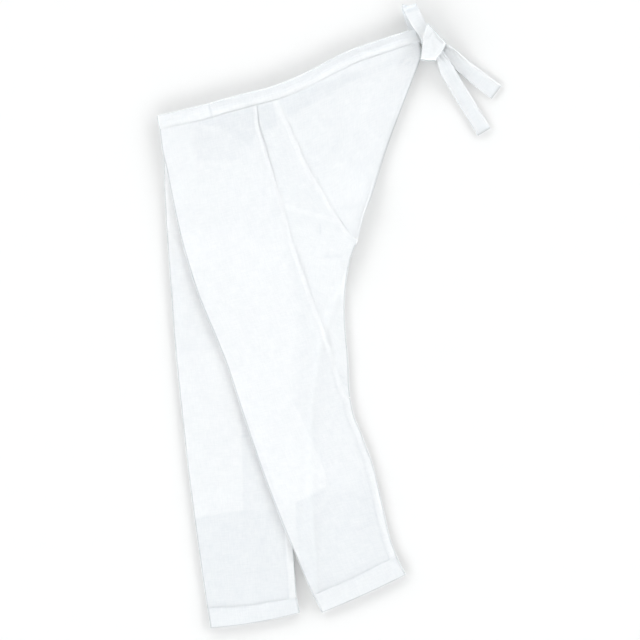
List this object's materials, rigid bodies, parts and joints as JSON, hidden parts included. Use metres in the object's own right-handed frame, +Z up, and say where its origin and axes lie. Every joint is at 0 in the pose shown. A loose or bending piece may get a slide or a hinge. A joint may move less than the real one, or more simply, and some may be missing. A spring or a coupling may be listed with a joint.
{
  "type": "momohiki trousers",
  "caption": "Thin white cotton festival trousers with a wrap-over back and a knotted waist tie, laid flat on their side with the legs a little apart.",
  "frame": {"origin": "middle of the laid-out garment in plan, on the surface it lies on", "axes": "+Y from the hems towards the waist, +X from the front fold towards the knot at the back, +Z up off the surface"},
  "size_m": [0.6203, 1.1221, 0.0099],
  "materials": {
    "cloth": "bleached thin plain-weave cotton, matt",
    "band": "the same cotton folded and stitched into a strip, matt"
  },
  "bodies": {
    "root": {"over_leg": "cloth", "over_hip_gusset": "cloth", "over_back_wrap": "cloth", "over_thigh_gusset": "cloth", "over_hem": "cloth", "under_leg": "cloth", "under_hip_gusset": "cloth", "under_back_wrap": "cloth", "under_thigh_gusset": "cloth", "under_hem": "cloth", "waistband": "band", "over_tie": "band", "under_tie": "band", "knot": "band"}
  },
  "joints": []
}
